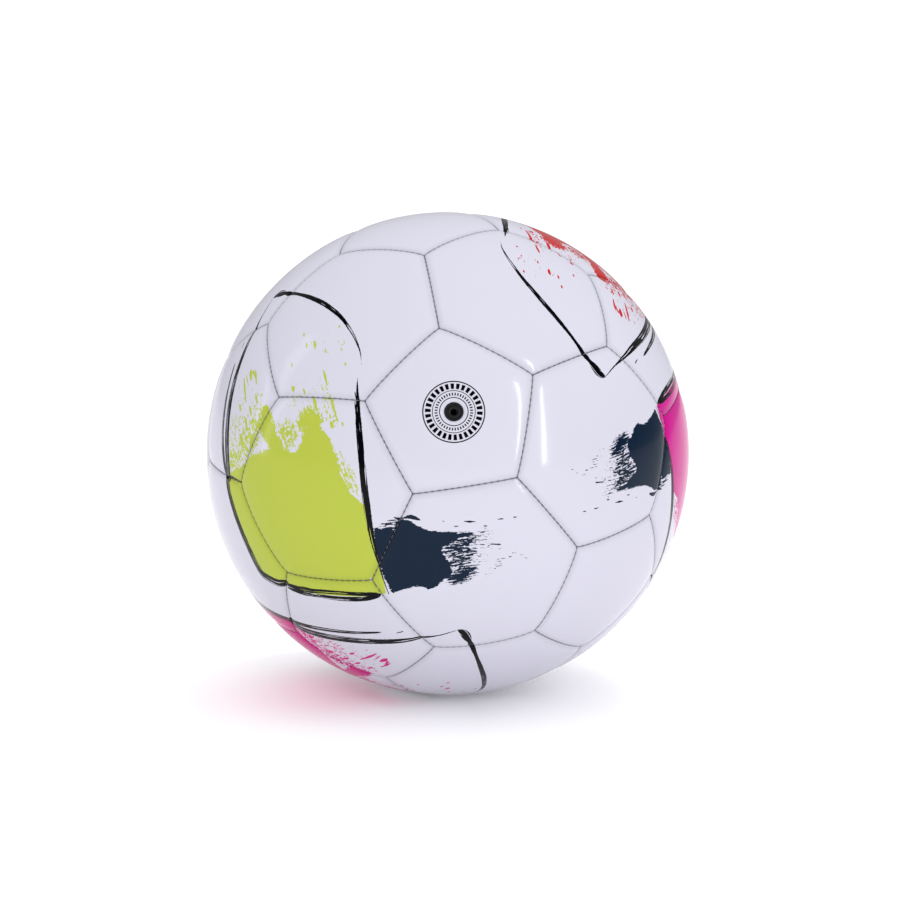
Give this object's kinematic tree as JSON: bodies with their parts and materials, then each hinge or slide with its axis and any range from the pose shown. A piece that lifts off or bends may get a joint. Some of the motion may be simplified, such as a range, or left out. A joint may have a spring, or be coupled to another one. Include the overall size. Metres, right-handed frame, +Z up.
{
  "type": "soccer ball",
  "caption": "Sewn football of pentagon and hexagon cover panels over a rubber bladder, with a self-sealing needle valve in one pentagon.",
  "frame": {"origin": "centre of the inflated ball", "axes": "+Z up as the ball lies on a floor; the valve faces -Y, 17 degrees above level"},
  "size_m": [0.22, 0.22, 0.22],
  "materials": {
    "cover_skin": "glossy synthetic leather skin with printed paint marks",
    "sewing_thread": "waxed twisted polyester",
    "foam": "fine closed-cell foam",
    "lining_cloth": "plain woven polyester and cotton",
    "patch_cloth": "coarse woven reinforcement",
    "bladder_rubber": "matt moulded butyl rubber",
    "valve_rubber": "moulded butyl rubber",
    "core_rubber": "soft black rubber"
  },
  "bodies": {
    "root": {"valve_panel": "cover_skin", "pentagon_panel_02": "cover_skin", "pentagon_panel_03": "cover_skin", "pentagon_panel_04": "cover_skin", "pentagon_panel_05": "cover_skin", "pentagon_panel_06": "cover_skin", "pentagon_panel_07": "cover_skin", "pentagon_panel_08": "cover_skin", "pentagon_panel_09": "cover_skin", "pentagon_panel_10": "cover_skin", "pentagon_panel_11": "cover_skin", "pentagon_panel_12": "cover_skin", "hexagon_panel_01": "cover_skin", "hexagon_panel_02": "cover_skin", "hexagon_panel_03": "cover_skin", "hexagon_panel_04": "cover_skin", "hexagon_panel_05": "cover_skin", "hexagon_panel_06": "cover_skin", "hexagon_panel_07": "cover_skin", "hexagon_panel_08": "cover_skin", "hexagon_panel_09": "cover_skin", "hexagon_panel_10": "cover_skin", "hexagon_panel_11": "cover_skin", "hexagon_panel_12": "cover_skin", "hexagon_panel_13": "cover_skin", "hexagon_panel_14": "cover_skin", "hexagon_panel_15": "cover_skin", "hexagon_panel_16": "cover_skin", "hexagon_panel_17": "cover_skin", "hexagon_panel_18": "cover_skin", "hexagon_panel_19": "cover_skin", "hexagon_panel_20": "cover_skin", "pentagon_seam_threads": "sewing_thread", "hexagon_seam_threads": "sewing_thread", "pentagon_foam": "foam", "hexagon_foam": "foam", "pentagon_lining": "lining_cloth", "hexagon_lining": "lining_cloth", "valve_patch": "patch_cloth", "bladder": "bladder_rubber", "valve_body": "valve_rubber", "valve_core": "core_rubber"}
  },
  "joints": []
}
